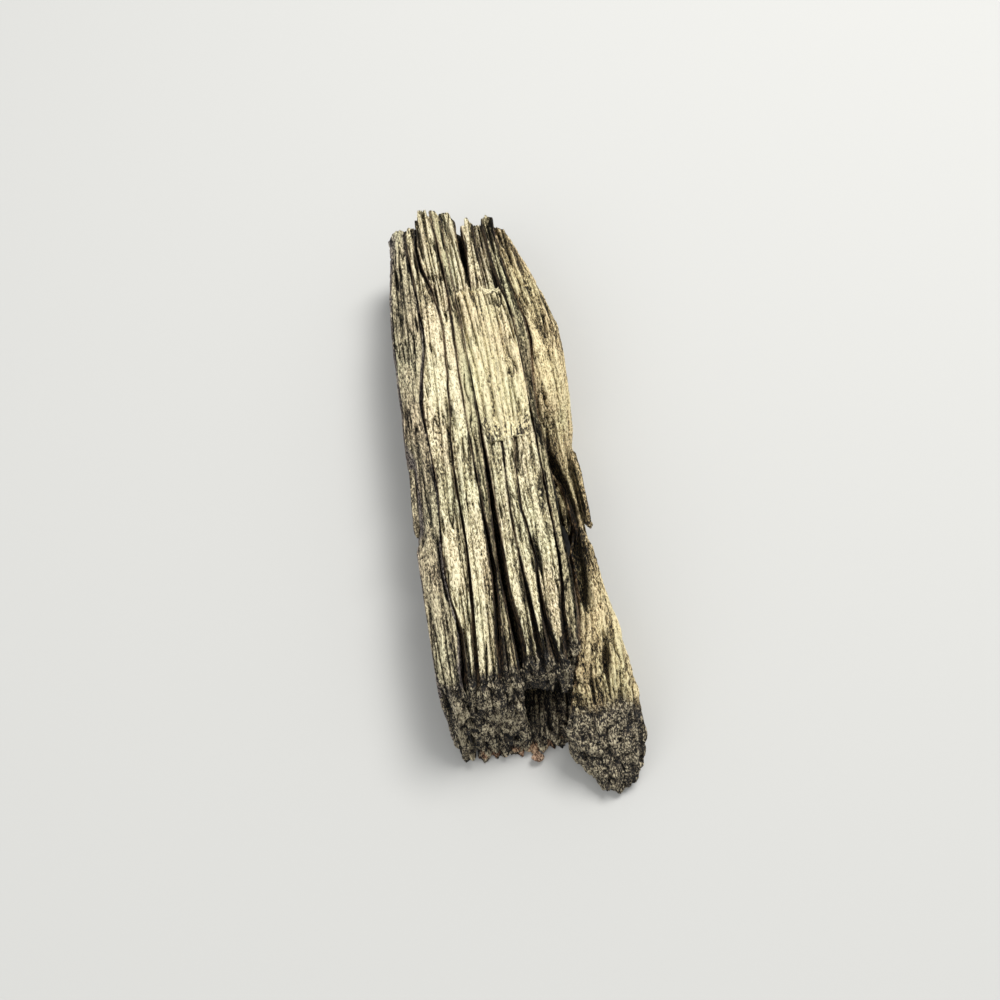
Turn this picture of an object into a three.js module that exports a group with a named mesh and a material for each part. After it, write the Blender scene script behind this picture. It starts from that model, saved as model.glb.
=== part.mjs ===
// A split and weathered stick of charred hardwood, lying on its underside.
//
// The stick is one length of wood that has opened along its grain. Deep checks run from end to end
// and divide it into staves: keels that it lies on, a heart over them, a crown of ribs over the heart,
// a flank on the left, a slab on the right, and loose slivers in and beside the checks.
// Millimetres. +Y runs along the grain to the frayed far end, +X to the right, +Z up.
// The origin is on the surface that the stick lies on, at the middle of its length and width.
import * as THREE from "three";

// ---- Driving dimensions --------------------------------------------------------------------------
const LENGTH = 142.6; // from the tip of the near nose to the longest far fibres
const WIDTH = 40.4; // across the widest place
const HEIGHT = 24; // from the surface that it lies on to the top of the crown
const RIB_DEPTH = 8.5; // from the crown down to the underside of the ribs
const KEEL_DEPTH = 5; // thickness of the keels
const SEAM = 0.4; // gap where two staves lie against each other
const FOOT_LIFT = 1; // how far the flank and the slab clear the surface
const SHEET_THICKNESS = 2; // the one unbroken layer left on the crown
const SHEET_FEATHER = 8; // length over which it thins out at its near edge
const SHEET_ROUND = 0.3; // how far its two sides lie below its middle
const SHEET_START = 6; // its near edge
const SHEET_END = 45; // its far edge
const FAR_DROP = 3; // how far the crown falls past the sheet's far edge
const SPLINTER_WIDTH = 1.5; // the loose splinter that stands in the slab's check
const SPLINTER_DEPTH = 7;
const SLIVER_WIDTH = 1; // the thin slivers that have lifted off the two sides
const SLIVER_DEPTH = 6;
const SLIVER_GAP = 0.8; // the slit behind each sliver
const CRUMB_SIZE = 3; // the crumb that clings to the foot of the near end
const FLANK_BROW = 2.6; // how far the flank's outer edge lies below its ridge
const DOME = 3; // how far the crown would fall at the two sides
const RIB_ROUND = 0.7; // how far a rib's edges lie below its ridge
const BELLY_INSET = 1.8; // how far the two sides draw in at the foot
const GRAIN_LEAN = 0.03; // how far the checks run to the right for each millimetre down
const NEAR_SLOPE = 0.46; // how far the broken near face runs out for each millimetre down

// ---- Lines along the grain -----------------------------------------------------------------------
// The lines are drawn on a stick between these ends and of this width, and stretch with LENGTH and WIDTH.
const DRAWN_NEAR = -70.4;
const DRAWN_FAR = 72.2;
const DRAWN_WIDTH = 40.4;
const ALONG = LENGTH / (DRAWN_FAR - DRAWN_NEAR);
const ACROSS = WIDTH / DRAWN_WIDTH;
const STATION_STEP = 6 * ALONG;

// A smooth line through [y, value] points listed from the near end to the far end, and flat past them.
function through(points, scale) {
  const ys = points.map(([y]) => y * ALONG);
  const values = points.map(([, value]) => value * scale);
  const last = ys.length - 1;
  const slope = (i) => {
    const before = Math.max(i - 1, 0);
    const after = Math.min(i + 1, last);
    return (values[after] - values[before]) / (ys[after] - ys[before]);
  };
  return (y) => {
    if (y <= ys[0]) return values[0];
    if (y >= ys[last]) return values[last];
    const i = ys.findIndex((end) => end > y) - 1;
    const span = ys[i + 1] - ys[i];
    const t = (y - ys[i]) / span;
    const rise = t * t * (3 - 2 * t);
    const bend = t * (1 - t) * span;
    return THREE.MathUtils.lerp(values[i], values[i + 1], rise)
      + bend * ((1 - t) * slope(i) - t * slope(i + 1));
  };
}

// A check has a middle line and an opening, both along y. It leans to the right on its way down.
function check(middlePoints, openingPoints) {
  const middle = through(middlePoints, ACROSS);
  const opening = through(openingPoints, ACROSS);
  const half = (y) => Math.max(opening(y), SEAM) / 2;
  const lean = (z) => GRAIN_LEAN * (HEIGHT - z);
  return {
    leftBank: (y, z) => middle(y) - half(y) + lean(z),
    rightBank: (y, z) => middle(y) + half(y) + lean(z),
  };
}

const flankCheck = check(
  [[-60, -14.8], [-42, -15], [-35, -14.2], [-28, -15.3], [-18, -15.3], [-6, -14], [6, -14.2],
    [16, -14.4], [25, -13.1], [33, -11.6], [44, -11.5], [60, -12]],
  [[-50, 1], [-42, 1.6], [-34, 0.6], [-20, 0.5], [8, 0.4], [25, 0.9], [38, 0.4], [60, 0.8]],
);
const leftCheck = check(
  [[-50, -12.5], [-35, -11.3], [-20, -10.2], [0, -9.9], [20, -8.1], [38, -7], [48, -8], [56, -9.7],
    [72, -9]],
  [[-46, 0.6], [-30, 0.5], [44, 0.5], [52, 1], [72, 1.2]],
);
const twinCheck = check(
  [[-50, -7.9], [-36, -6.6], [-24, -5.5], [0, -5.5], [20, -5.2], [38, -4.6], [52, -4.5], [72, -5.2]],
  [[-46, 1], [-40, 1], [-30, 0.8], [-18, 0.9], [-8, 0.4], [45, 0.4], [52, 0.9], [72, 0.7]],
);
const heartCheck = check(
  [[-50, -4.3], [-42, -3.1], [-32, -3.6], [-22, -3.6], [-8, -3.1], [16, -2.6], [38, -2.6], [72, -2.8]],
  [[-50, 0.8], [-44, 1.9], [-38, 2], [-31, 1.3], [-20, 1.6], [-6, 1.2], [8, 0.6], [16, 0.4],
    [50, 0.4], [72, 0.8]],
);
const firstCheck = check(
  [[-50, 0.7], [-28, 0.3], [-13, 0.1], [6, 1.3], [36, 1.7], [54, 1.2], [72, 1.3]],
  [[-44, 0.9], [-34, 0.5], [46, 0.4], [53, 1.4], [60, 2.2], [72, 2.4]],
);
const secondCheck = check(
  [[-50, 3.9], [-34, 2.8], [-22, 3.4], [-12, 2.5], [0, 3.4], [12, 4.9], [50, 4.8], [72, 4.6]],
  [[-46, 1.4], [-40, 1], [-32, 0.4], [50, 0.5], [72, 0.7]],
);
const thirdCheck = check(
  [[-50, 6], [-38, 6.4], [-26, 8], [-8, 8.4], [10, 8.7], [28, 9.2], [38, 9], [50, 7.4], [72, 7]],
  [[-44, 0.8], [-30, 0.5], [-6, 0.6], [20, 0.4], [36, 0.7], [46, 0.9], [56, 0.5]],
);
const slabCheck = check(
  [[-70, 9.2], [-66, 7.4], [-63, 4.6], [-60, 3.1], [-55, 4.9], [-49, 6.9], [-42, 8.9],
    [-34, 10.5], [-20, 11], [-6, 10.8], [8, 10.3], [20, 10.9], [32, 12.2], [44, 10.7], [56, 9.6], [72, 9.2]],
  [[-42, 0.5], [-34, 1.2], [-20, 2], [-4, 1], [6, 0.6], [60, 0.6]],
);

// A share that is 1 between near and far and falls to 0 over a few millimetres past them.
const FADE = 5 * ALONG;
function stretch(near, far) {
  const rise = (y) => THREE.MathUtils.smoothstep(y, near * ALONG - FADE, near * ALONG);
  const fall = (y) => THREE.MathUtils.smoothstep(y, far * ALONG, far * ALONG + FADE);
  return (y) => rise(y) - fall(y);
}
const endsOf = ({ near, far }) =>
  [near * ALONG - FADE, near * ALONG, far * ALONG, far * ALONG + FADE];

// The slab's check opens further where the loose splinter stands in it.
const SPLINTER = { near: -14, far: -3 };
const splinterPocket = stretch(SPLINTER.near, SPLINTER.far);
const slabBank = (y, z) => slabCheck.rightBank(y, z) + splinterPocket(y) * (SPLINTER_WIDTH + SEAM);

// The two sides draw in towards the foot, and behind the slivers that have lifted off them.
const LEFT_SLIVER = { near: -12, far: 4 };
const RIGHT_SLIVER = { near: -14, far: 5 };
const leftHollow = stretch(LEFT_SLIVER.near, LEFT_SLIVER.far);
const rightHollow = stretch(RIGHT_SLIVER.near, RIGHT_SLIVER.far);
const hollow = (z) =>
  (SLIVER_WIDTH + SLIVER_GAP) * THREE.MathUtils.smoothstep(z, 0.25 * HEIGHT, 0.45 * HEIGHT);
const belly = (z) => BELLY_INSET * Math.max(0, 1 - (2 * z) / HEIGHT) ** 2;
const leftLine = through(
  [[-60, -17.8], [-54, -19.2], [-44, -20.2], [-12, -20], [4, -19.6], [18, -18.8], [38, -18.3],
    [52, -16.8], [66, -14.6]],
  ACROSS,
);
const rightLine = through(
  [[-70, 16.6], [-67, 19], [-61, 20.2], [-50, 19.3], [-38, 18.5], [-24, 17.4], [-12, 17.8],
    [10, 18.4], [24, 19.4], [35, 20.2], [46, 18.1], [62, 14.2], [72, 11.8]],
  ACROSS,
);
const leftSide = (y, z) => leftLine(y) + belly(z) + leftHollow(y) * hollow(z);
const rightSide = (y, z) => rightLine(y) - belly(z) - rightHollow(y) * hollow(z);

// ---- Heights over the surface that it lies on, as shares of HEIGHT ---------------------------------
const crown = through([[-50, 0.94], [-38, 0.98], [-15, 1], [24, 1], [46, 0.98], [72, 0.94]], HEIGHT);
const flankRidge = through([[-56, 0.88], [-30, 0.94], [30, 0.95], [50, 0.9], [68, 0.86]], HEIGHT);
const slabInner = through(
  [[-70, 0.2], [-63, 0.36], [-56, 0.6], [-48, 0.84], [-40, 0.82], [-30, 0.58], [-14, 0.5], [8, 0.6],
    [16, 0.88], [46, 0.9], [72, 0.8]],
  HEIGHT,
);
const slabRidge = through(
  [[-70, 0.24], [-63, 0.46], [-54, 0.72], [-44, 0.82], [-34, 0.72], [-14, 0.62], [8, 0.66], [16, 0.86],
    [46, 0.88], [72, 0.76]],
  HEIGHT,
);
const slabBrow = through(
  [[-70, 0.16], [-62, 0.36], [-48, 0.58], [-20, 0.46], [8, 0.52], [20, 0.7], [46, 0.72], [72, 0.58]],
  HEIGHT,
);

// The crown steps down to pass under the sheet, and stays low past its frayed far edge.
// The sheet thins out towards its near edge.
const sheetStart = SHEET_START * ALONG;
const sheetEnd = SHEET_END * ALONG;
const featherEnd = sheetStart + SHEET_FEATHER * ALONG;
const FEATHER_EDGE = 0.2 * SHEET_THICKNESS;
const sheetDepth = (y) => {
  const share = THREE.MathUtils.smoothstep(y, sheetStart, featherEnd);
  return THREE.MathUtils.lerp(FEATHER_EDGE, SHEET_THICKNESS, share);
};
const sunkTop = (y) => {
  const bed = crown(y) - sheetDepth(y) - SEAM;
  if (y > sheetEnd + SEAM) return Math.min(crown(y) - FAR_DROP, bed);
  return y > sheetStart - SEAM ? bed : crown(y);
};
const FEATHER_STEPS = [0.25, 0.5, 0.75, 1].map((share) =>
  THREE.MathUtils.lerp(sheetStart, featherEnd, share),
);
const STEPS = [
  sheetStart - 2 * SEAM,
  sheetStart - SEAM + 0.01,
  ...FEATHER_STEPS,
  sheetEnd + SEAM - 0.01,
  sheetEnd + 2 * SEAM,
];

// ---- Building a stave ----------------------------------------------------------------------------
// The near face is broken on a slope, so a point low on the stick lies further out than one above it.
const FACE_START = -33 * ALONG;
const FACE_END = -47 * ALONG;
function slid(y, z, slope) {
  const share = THREE.MathUtils.smoothstep(-y, -FACE_START, -FACE_END);
  return y - slope * share * (HEIGHT - z);
}

// A closed skin over rings of points that run from the near end to the far end. Each ring goes
// anticlockwise as seen from the near end.
function skin(rings) {
  const count = rings[0].length;
  const middle = (ring) => ring.reduce((sum, p) => sum.add(p), new THREE.Vector3()).divideScalar(count);
  const points = [...rings.flat(), middle(rings[0]), middle(rings.at(-1))];
  const nearMiddle = points.length - 2;
  const farMiddle = points.length - 1;
  const lastRing = (rings.length - 1) * count;
  const faces = [];
  for (let i = 0; i < count; i++) {
    const next = (i + 1) % count;
    for (let start = 0; start < lastRing; start += count) {
      const a = start + i;
      const b = start + next;
      faces.push(a, b + count, b, a, a + count, b + count);
    }
    faces.push(nearMiddle, i, next, farMiddle, lastRing + next, lastRing + i);
  }
  const geometry = new THREE.BufferGeometry().setFromPoints(points);
  geometry.setIndex(faces);
  geometry.computeVertexNormals();
  return geometry;
}

// The stations are the same for all staves, so that two neighbours bend at the same places.
function stations(near, far, extra) {
  const first = Math.ceil(near / STATION_STEP);
  const last = Math.floor(far / STATION_STEP);
  const even = Array.from({ length: last - first + 1 }, (_, i) => (first + i) * STATION_STEP);
  const fixed = [near, far, ...extra.filter((y) => y > near && y < far)];
  const clear = even.filter((y) => fixed.every((other) => Math.abs(other - y) > STATION_STEP / 4));
  return [...fixed, ...clear].sort((a, b) => a - b);
}

// A stave stands between a left and a right bank, from bottom(y) up to tops(y), a list of heights
// across it from left to right. Each bank has the given number of levels.
function stave({ near, far, left, right, bottom, tops, slope = 0, levels = 2, extra = [] }) {
  const rings = stations(near * ALONG, far * ALONG, extra).map((y) => {
    const low = bottom(y);
    const heights = tops(y);
    const place = (share, z) => {
      const at = slid(y, z, slope);
      return new THREE.Vector3(THREE.MathUtils.lerp(left(at, z), right(at, z), share), at, z);
    };
    const across = heights.map((z, i) => place(i / (heights.length - 1), z));
    const bank = (share, top) =>
      Array.from({ length: levels }, (_, i) => place(share, THREE.MathUtils.lerp(low, top, i / levels)));
    return [...bank(1, heights.at(-1)), ...across.reverse(), ...bank(0, heights[0]).reverse()];
  });
  return skin(rings);
}

// The top of a rib: the crown's height at the rib's own place across the dome, with rounded edges.
const ridged = (top, left, right) => (y) => {
  const middle = (left(y, HEIGHT) + right(y, HEIGHT)) / 2;
  const ridge = top(y) - DOME * ((2 * middle) / WIDTH) ** 2;
  return [ridge - RIB_ROUND, ridge, ridge, ridge - RIB_ROUND];
};
const level = (z) => () => z;
const flatTop = (z) => () => [z, z];

// ---- The staves ----------------------------------------------------------------------------------
const stick = new THREE.Group();
function add(name, geometry, color, roughness) {
  const material = new THREE.MeshStandardMaterial({ color, roughness, metalness: 0 });
  const mesh = new THREE.Mesh(geometry, material);
  mesh.name = name;
  stick.add(mesh);
  return mesh;
}
const WEATHERED = "#8c7c5a"; // bleached, tan grey
const OLIVE = "#5b5640"; // lower layers, less bleached
const BROWN = "#54443a"; // freshly split banks
const CHAR = "#23211f"; // burnt through

// Ribs of the crown, from left to right.
const ribBottom = HEIGHT - RIB_DEPTH;
const ribs = [
  { name: "rib_outer_left", near: -46.5, far: 67.5, left: flankCheck, right: leftCheck },
  { name: "rib_left", near: -46.8, far: 72, left: leftCheck, right: twinCheck },
  { name: "rib_splinter", near: -46, far: 70.5, left: twinCheck, right: heartCheck },
  { name: "rib_centre_left", near: -45.6, far: DRAWN_FAR, left: heartCheck, right: firstCheck, sunk: true },
  { name: "rib_centre", near: -45, far: 69.8, left: firstCheck, right: secondCheck, sunk: true },
  { name: "rib_centre_right", near: -45.6, far: 67, left: secondCheck, right: thirdCheck, sunk: true },
  { name: "rib_right", near: -43, far: 66, left: thirdCheck, right: slabCheck },
];
for (const { name, near, far, left, right, sunk = false } of ribs) {
  const shape = {
    near,
    far,
    left: left.rightBank,
    right: right.leftBank,
    bottom: level(ribBottom),
    tops: ridged(sunk ? sunkTop : crown, left.rightBank, right.leftBank),
    slope: NEAR_SLOPE,
    extra: sunk ? STEPS : [],
  };
  add(name, stave(shape), sunk ? OLIVE : WEATHERED, 0.95);
}

// The sheet, over the three sunk ribs.
const sheet = stave({
  near: SHEET_START,
  far: SHEET_END,
  left: heartCheck.rightBank,
  right: thirdCheck.leftBank,
  bottom: (y) => crown(y) - sheetDepth(y),
  tops: (y) => [SHEET_ROUND, 0, 0, 0, SHEET_ROUND].map((fall) => crown(y) - fall),
  levels: 1,
  extra: FEATHER_STEPS,
});
add("crown_sheet", sheet, WEATHERED, 0.95);

// The heart, in two, between the keels and the ribs. Its right half is burnt back at the near end.
const heartBottom = KEEL_DEPTH + SEAM;
const heartTop = ribBottom - SEAM;
const heartHalves = [
  { name: "heart_left", near: -47, far: 69, left: flankCheck, right: heartCheck, slope: NEAR_SLOPE },
  { name: "heart_right", near: -42, far: 68.5, left: heartCheck, right: slabCheck, slope: 0 },
];
for (const { name, near, far, left, right, slope } of heartHalves) {
  const shape = {
    near,
    far,
    left: left.rightBank,
    right: right.leftBank,
    bottom: level(heartBottom),
    tops: flatTop(heartTop),
    slope,
  };
  add(name, stave(shape), BROWN, 0.9);
}

// The keels, whose undersides are the flat that the stick lies on.
const KEEL_NEAR = -46.5;
const keels = [
  { name: "keel_left", far: 66.5, left: flankCheck, right: twinCheck },
  { name: "keel_right", far: 67, left: twinCheck, right: slabCheck },
];
for (const { name, far, left, right } of keels) {
  const shape = {
    near: KEEL_NEAR,
    far,
    left: left.rightBank,
    right: right.leftBank,
    bottom: level(0),
    tops: flatTop(KEEL_DEPTH),
    slope: NEAR_SLOPE,
    levels: 1,
  };
  add(name, stave(shape), CHAR, 0.9);
}

// The flank on the left and the slab on the right, each as deep as the stick.
const flank = stave({
  near: -48,
  far: 67.5,
  left: leftSide,
  right: flankCheck.leftBank,
  bottom: level(FOOT_LIFT),
  tops: (y) => [FLANK_BROW, 0.9, 0, RIB_ROUND].map((fall) => flankRidge(y) - fall),
  slope: NEAR_SLOPE,
  levels: 4,
  extra: endsOf(LEFT_SLIVER),
});
add("flank_left", flank, OLIVE, 0.9);

const slab = stave({
  near: DRAWN_NEAR,
  far: 66,
  left: slabBank,
  right: rightSide,
  bottom: level(FOOT_LIFT),
  tops: (y) => {
    const rising = (slabInner(y) + slabRidge(y)) / 2;
    return [slabInner(y), rising, slabRidge(y), slabRidge(y) - RIB_ROUND, slabBrow(y)];
  },
  levels: 4,
  extra: [...endsOf(SPLINTER), ...endsOf(RIGHT_SLIVER)],
});
add("slab_right", slab, BROWN, 0.9);

// The loose splinter in the slab's check.
const splinter = stave({
  ...SPLINTER,
  left: (y, z) => slabBank(y, z) - SEAM - SPLINTER_WIDTH,
  right: (y, z) => slabBank(y, z) - SEAM,
  bottom: (y) => slabRidge(y) - SPLINTER_DEPTH,
  tops: (y) => [slabRidge(y) - RIB_ROUND, slabRidge(y), slabRidge(y) - RIB_ROUND],
});
add("check_splinter", splinter, BROWN, 0.9);

// The slivers that have lifted off the two sides. Each stands clear at its near end and comes back
// to the side at its far end.
const liftOf = ({ near, far }) => (y) =>
  THREE.MathUtils.lerp(SLIVER_GAP, SEAM, THREE.MathUtils.smoothstep(y, near * ALONG, far * ALONG));
const leftLift = liftOf(LEFT_SLIVER);
const leftSliver = stave({
  ...LEFT_SLIVER,
  left: (y, z) => leftSide(y, z) - leftLift(y) - SLIVER_WIDTH,
  right: (y, z) => leftSide(y, z) - leftLift(y),
  bottom: (y) => flankRidge(y) - FLANK_BROW - SLIVER_DEPTH,
  tops: (y) => [flankRidge(y) - FLANK_BROW, flankRidge(y) - FLANK_BROW],
});
add("sliver_left", leftSliver, WEATHERED, 0.95);

const rightLift = liftOf(RIGHT_SLIVER);
const rightSliver = stave({
  ...RIGHT_SLIVER,
  left: (y, z) => rightSide(y, z) + rightLift(y),
  right: (y, z) => rightSide(y, z) + rightLift(y) + SLIVER_WIDTH,
  bottom: (y) => slabRidge(y) - SLIVER_DEPTH,
  tops: (y) => [slabRidge(y), slabRidge(y)],
});
add("sliver_right", rightSliver, BROWN, 0.9);

// The crumb at the foot of the near end, in front of the right keel.
const crumbRadius = CRUMB_SIZE / 2;
const keelFace = slid(KEEL_NEAR * ALONG, crumbRadius, NEAR_SLOPE);
const crumb = add("near_crumb", new THREE.DodecahedronGeometry(crumbRadius), BROWN, 0.9);
crumb.position.set(-2 * ACROSS, keelFace - SEAM - crumbRadius, crumbRadius);

// The lines' zero isn't the middle of the length.
stick.position.y = (-ALONG * (DRAWN_NEAR + DRAWN_FAR)) / 2;

export default stick;
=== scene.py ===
"""Looks of a split and weathered stick of charred hardwood.

Each stave of the stick is measured from its solid in the frame, and grown again as a fine mesh with
ridges, checks, pits and broken ends. Lengths in the classes are millimetres, and the meshes that
they make are metres. +Y runs along the grain, from the burnt near end to the frayed far end.
"""

import logging
import math
from dataclasses import dataclass, field
from enum import Enum

import bpy
import numpy as np
from mathutils import Matrix, Vector


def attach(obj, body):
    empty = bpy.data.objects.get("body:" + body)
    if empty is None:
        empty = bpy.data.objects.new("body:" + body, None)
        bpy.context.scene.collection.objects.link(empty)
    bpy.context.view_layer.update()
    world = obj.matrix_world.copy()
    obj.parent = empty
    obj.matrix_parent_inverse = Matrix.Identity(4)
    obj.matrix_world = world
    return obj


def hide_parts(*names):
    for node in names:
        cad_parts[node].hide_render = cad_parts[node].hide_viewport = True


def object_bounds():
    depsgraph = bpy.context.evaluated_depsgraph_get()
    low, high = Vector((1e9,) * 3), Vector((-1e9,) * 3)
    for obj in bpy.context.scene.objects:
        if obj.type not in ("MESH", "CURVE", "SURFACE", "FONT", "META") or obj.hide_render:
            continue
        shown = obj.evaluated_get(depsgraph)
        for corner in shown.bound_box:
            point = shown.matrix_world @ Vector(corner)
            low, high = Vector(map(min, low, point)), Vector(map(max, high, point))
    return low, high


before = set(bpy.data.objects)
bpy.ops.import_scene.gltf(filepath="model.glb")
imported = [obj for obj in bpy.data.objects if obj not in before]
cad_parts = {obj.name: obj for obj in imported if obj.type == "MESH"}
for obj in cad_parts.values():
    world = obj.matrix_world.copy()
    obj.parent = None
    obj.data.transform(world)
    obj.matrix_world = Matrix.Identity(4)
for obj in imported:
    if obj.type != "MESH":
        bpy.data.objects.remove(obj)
CAD_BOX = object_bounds()

MM = 0.001
NO_BURN = 1e-6  # stands in for a burn of no length where one is divided by
DRAWN_MIDDLE = 0.9  # mm from the zero that the checks and patches are placed by to the middle of the length
log = logging.getLogger("charcoal_stick")


# ---- Noise ---------------------------------------------------------------------------------------


class Lattice:
    """Smooth random values in space, about -1 to 1, that change over a distance of about 1."""

    SIZE = 256

    def __init__(self, seed: int) -> None:
        """Draws the lattice.

        Args:
            seed: picks the pattern.
        """
        random = np.random.default_rng(seed)
        self.order = random.permutation(self.SIZE)
        slopes = random.normal(size=(self.SIZE, 3))
        self.slopes = slopes / np.linalg.norm(slopes, axis=1, keepdims=True)

    def at(self, x: np.ndarray, y: np.ndarray, z: np.ndarray) -> np.ndarray:
        """Gives the value at each point.

        Args:
            x, y, z: arrays of one shape, in lattice steps.

        Returns:
            An array of the same shape.
        """
        cells = [np.floor(axis).astype(int) for axis in (x, y, z)]
        inside = [axis - cell for axis, cell in zip((x, y, z), cells)]
        blend = [part * part * part * (part * (part * 6 - 15) + 10) for part in inside]
        mask = self.SIZE - 1
        total = np.zeros(np.shape(x))
        for i in (0, 1):
            first = self.order[(cells[0] + i) & mask]
            for j in (0, 1):
                second = self.order[(first + cells[1] + j) & mask]
                for k in (0, 1):
                    slope = self.slopes[self.order[(second + cells[2] + k) & mask]]
                    value = (
                        slope[..., 0] * (inside[0] - i)
                        + slope[..., 1] * (inside[1] - j)
                        + slope[..., 2] * (inside[2] - k)
                    )
                    share = (
                        (blend[0] if i else 1 - blend[0])
                        * (blend[1] if j else 1 - blend[1])
                        * (blend[2] if k else 1 - blend[2])
                    )
                    total += value * share
        return total * 1.6


def smooth_step(value: np.ndarray, low: float, high: float) -> np.ndarray:
    """Rises smoothly from 0 at low to 1 at high. Low may be the larger of the two."""
    share = np.clip((value - low) / (high - low), 0.0, 1.0)
    return share * share * (3 - 2 * share)


# ---- What wears the wood -------------------------------------------------------------------------


class Walls(Enum):
    """Which side walls of a stave are unbleached and darkened by painted shade from the checks."""

    NONE = 0
    LEFT = 1
    RIGHT = 2
    BOTH = 3


@dataclass(frozen=True)
class Relief:
    """Grooves, fibres, slits and pits that rain and frost have worn into a face, in mm."""

    groove_pitch: float = 1.5
    groove_run: float = 45.0
    groove_depth: float = 0.9
    fibre_pitch: float = 0.6
    fibre_run: float = 7.0
    fibre_depth: float = 0.5
    slit_pitch: float = 1.1
    slit_run: float = 10.0
    slit_depth: float = 1.4
    pit_pitch: float = 0.4
    pit_run: float = 0.8
    pit_depth: float = 0.55
    ragged: float = 0.16
    seed: int = 11

    def depth(self, across: np.ndarray, y: np.ndarray, sheet: int, fray: np.ndarray) -> np.ndarray:
        """Gives how far the surface is worn back at each point.

        Args:
            across: distance across the grain, round the stave.
            y: distance along the grain.
            sheet: picks the stretch of the pattern, one for each stave.
            fray: 0 in the middle of the stave, up to 1 at a broken end, where the ridges part.

        Returns:
            Depths in mm, 0 or more.
        """
        level = np.full_like(across, 1.37 * sheet)
        across = across + self.ragged * Lattice(self.seed + 5).at(across / 0.45, y / 0.8, level)
        groove = Lattice(self.seed).at(across / self.groove_pitch, y / self.groove_run, level)
        fibre = Lattice(self.seed + 1).at(across / self.fibre_pitch, y / self.fibre_run, level)
        slit = Lattice(self.seed + 2).at(across / self.slit_pitch, y / self.slit_run, level)
        split = Lattice(self.seed + 3).at(across / 3.0, y / 9.0, level)
        pit = Lattice(self.seed + 4).at(across / self.pit_pitch, y / self.pit_run, level)
        return (
            self.groove_depth * np.exp(-((groove / 0.13) ** 2)) * (1 + 1.8 * fray)
            + self.fibre_depth * np.clip(0.5 - fibre, 0, 1) * (1 + fray)
            + self.slit_depth * np.exp(-((slit / 0.09) ** 2)) * smooth_step(split, 0.05, 0.3)
            + self.pit_depth * smooth_step(pit, 0.1, 0.6)
        )


@dataclass(frozen=True)
class BrokenEnd:
    """How a stave ends, in mm: bundles of fibres that broke at different lengths."""

    bundle: float = 1.5  # width of a bundle
    bundle_length: float = 2.4  # how much further back one bundle broke than the next
    fibre: float = 0.45  # width of a fibre in a bundle
    fibre_length: float = 0.9
    rounding: float = 1.2  # how far the rim lies back from the middle
    left_back: float = 0.0  # how far the left edge lies back
    reach: float = 7.0  # how far along the stave the end is drawn out or pushed back
    line: tuple[tuple[float, float], ...] = ()  # when given, the y where the wood ends for each x
    seed: int = 31

    def set_back(self, x: np.ndarray, z: np.ndarray, rim: np.ndarray) -> np.ndarray:
        """Gives how far each point of the end lies back from the stave's full length.

        Args:
            x, z: places across the end.
            rim: 0 at the middle of the end, 1 at its edge.

        Returns:
            Distances in mm.
        """
        flat = np.zeros_like(x)
        coarse = 0.5 - 0.8 * Lattice(self.seed).at(x / self.bundle, flat, z / (1.5 * self.bundle))
        fine = np.abs(Lattice(self.seed + 1).at(x / self.fibre, flat, z / self.fibre))
        side = 2 * (x - x.min(1, keepdims=True)) / np.maximum(np.ptp(x, axis=1)[:, None], 1e-6) - 1
        return (
            self.bundle_length * np.clip(coarse, 0, 1.4)
            + self.fibre_length * fine
            + self.rounding * rim**3
            + self.left_back * np.clip(-side, 0, 1) ** 2
        )


@dataclass(frozen=True)
class Check:
    """A short check or pit in the upper faces: a line of (x, y) points, a width and a depth in mm."""

    line: tuple[tuple[float, float], ...]
    width: float
    depth: float

    def depth_at(self, x: np.ndarray, y: np.ndarray) -> np.ndarray:
        """Gives the depth that this check adds.

        Args:
            x, y: places seen from above, in mm.

        Returns:
            Depths in mm, 0 away from the check.
        """
        points = sorted(self.line, key=lambda point: point[1])
        xs = np.array([point[0] for point in points])
        ys = np.array([point[1] for point in points]) - DRAWN_MIDDLE
        aside = np.abs(x - np.interp(y, ys, xs))
        taper = 2.0 * self.width + 0.8
        ends = smooth_step(y, ys[0] - taper, ys[0] + taper) * smooth_step(y, ys[-1] + taper, ys[-1] - taper)
        half = 0.5 * self.width * np.maximum(ends, 0.05)
        return self.depth * ends * smooth_step(aside, half + 0.16, half * 0.55)


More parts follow.
